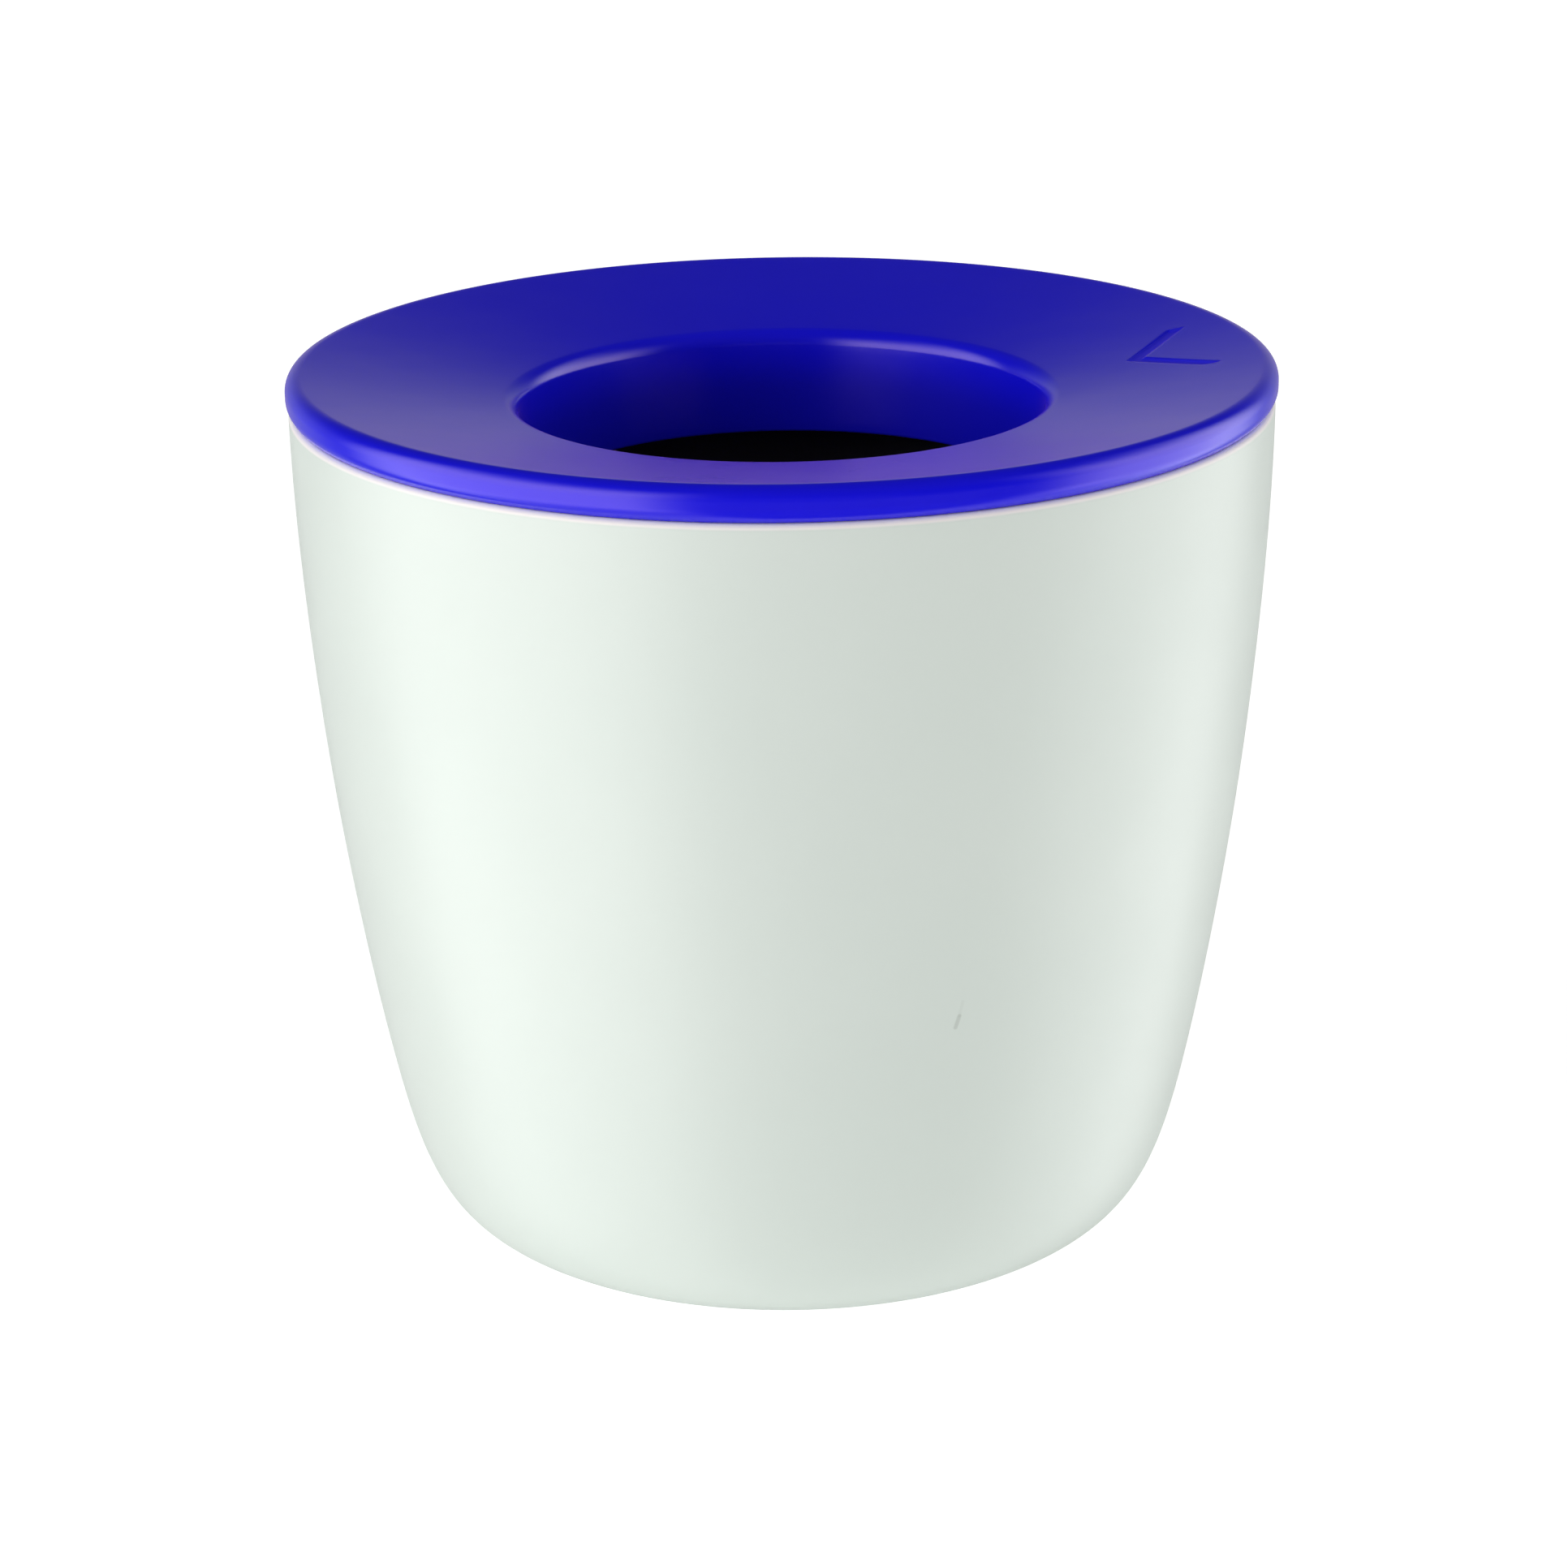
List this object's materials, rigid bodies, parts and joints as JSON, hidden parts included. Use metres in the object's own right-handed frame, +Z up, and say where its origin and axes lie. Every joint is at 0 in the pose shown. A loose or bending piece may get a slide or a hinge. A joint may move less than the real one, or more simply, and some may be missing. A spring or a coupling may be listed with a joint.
{
  "type": "wastebasket",
  "caption": "Round tapered wastebasket with a pale outer shell, a dark lift-out inner bucket and a lift-off blue ring lid with a funnel opening.",
  "frame": {"origin": "centre of the base on the floor", "axes": "+Z up along the bin's axis; the sunk arrow on the lid lies towards +X"},
  "size_m": [0.29, 0.29, 0.2633],
  "materials": {
    "shell_plastic": "satin moulded, pale mint white",
    "bucket_plastic": "matte moulded, black",
    "lid_plastic": "satin moulded, strong blue"
  },
  "bodies": {
    "outer_body": {"outer_shell": "shell_plastic"},
    "bucket": {"inner_bucket": "bucket_plastic"},
    "lid": {"ring_lid": "lid_plastic"}
  },
  "joints": [
    {"name": "bucket_lift", "type": "slide", "parent": "outer_body", "child": "bucket", "axis": [0, 0, 1], "range_m": [0, 0.28]},
    {"name": "lid_lift", "type": "slide", "parent": "bucket", "child": "lid", "axis": [0, 0, 1], "range_m": [0, 0.12]}
  ]
}
